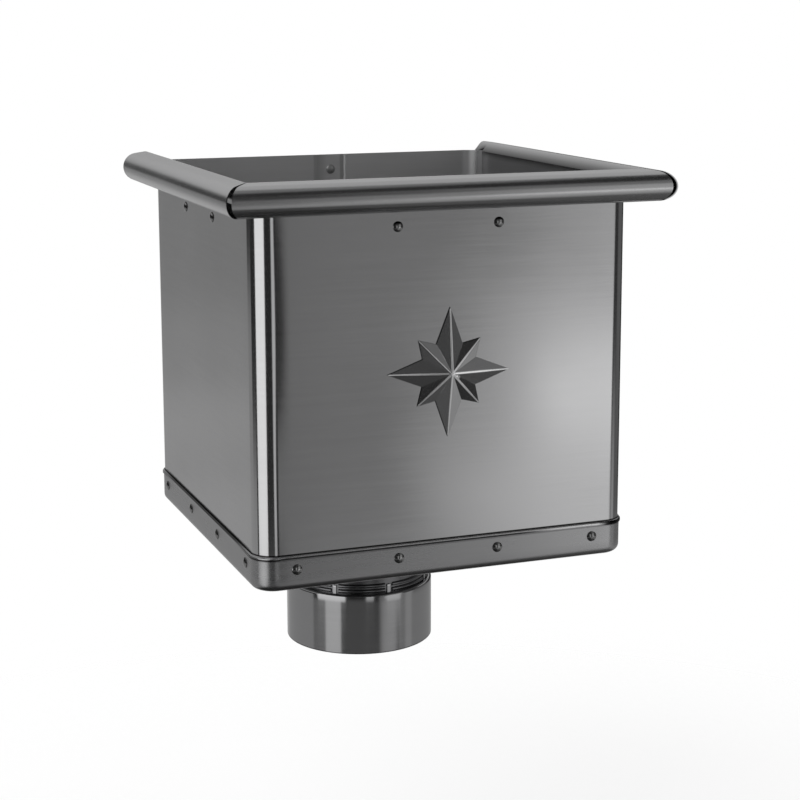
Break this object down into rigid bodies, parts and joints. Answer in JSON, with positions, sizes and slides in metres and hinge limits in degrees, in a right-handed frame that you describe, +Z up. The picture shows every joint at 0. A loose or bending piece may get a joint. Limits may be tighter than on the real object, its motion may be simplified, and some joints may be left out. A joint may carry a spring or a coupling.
{
  "type": "downpipe hopper head",
  "caption": "Square sheet-zinc rainwater hopper, open at the top, with a rolled rim, a riveted base pan, a pressed star on the front and a round downpipe spigot below.",
  "frame": {"origin": "on the outlet's axis, at the lower end of the spigot", "axes": "+Z up along the outlet's axis, +Y towards the wall that carries the hopper, so the star faces -Y, +X to the right seen from the front"},
  "size_m": [0.2814, 0.2638, 0.3315],
  "materials": {
    "zinc_sheet": "satin",
    "zinc_pressing": "satin",
    "rivet_metal": "satin"
  },
  "bodies": {
    "root": {"body_wall": "zinc_sheet", "base_pan": "zinc_sheet", "outlet_collar": "zinc_sheet", "outlet_spigot": "zinc_sheet", "rim_front": "zinc_sheet", "rim_left": "zinc_sheet", "rim_right": "zinc_sheet", "star_ornament": "zinc_pressing", "pan_rivet_front_1": "rivet_metal", "pan_rivet_front_2": "rivet_metal", "pan_rivet_front_3": "rivet_metal", "pan_rivet_front_4": "rivet_metal", "pan_rivet_right_1": "rivet_metal", "pan_rivet_right_2": "rivet_metal", "pan_rivet_right_3": "rivet_metal", "pan_rivet_right_4": "rivet_metal", "pan_rivet_back_1": "rivet_metal", "pan_rivet_back_2": "rivet_metal", "pan_rivet_back_3": "rivet_metal", "pan_rivet_back_4": "rivet_metal", "pan_rivet_left_1": "rivet_metal", "pan_rivet_left_2": "rivet_metal", "pan_rivet_left_3": "rivet_metal", "pan_rivet_left_4": "rivet_metal", "rim_rivet_front_1": "rivet_metal", "rim_rivet_front_2": "rivet_metal", "rim_rivet_right_1": "rivet_metal", "rim_rivet_right_2": "rivet_metal", "rim_rivet_left_1": "rivet_metal", "rim_rivet_left_2": "rivet_metal", "seam_rivet_1": "rivet_metal", "seam_rivet_2": "rivet_metal", "seam_rivet_3": "rivet_metal", "seam_rivet_4": "rivet_metal"}
  },
  "joints": []
}
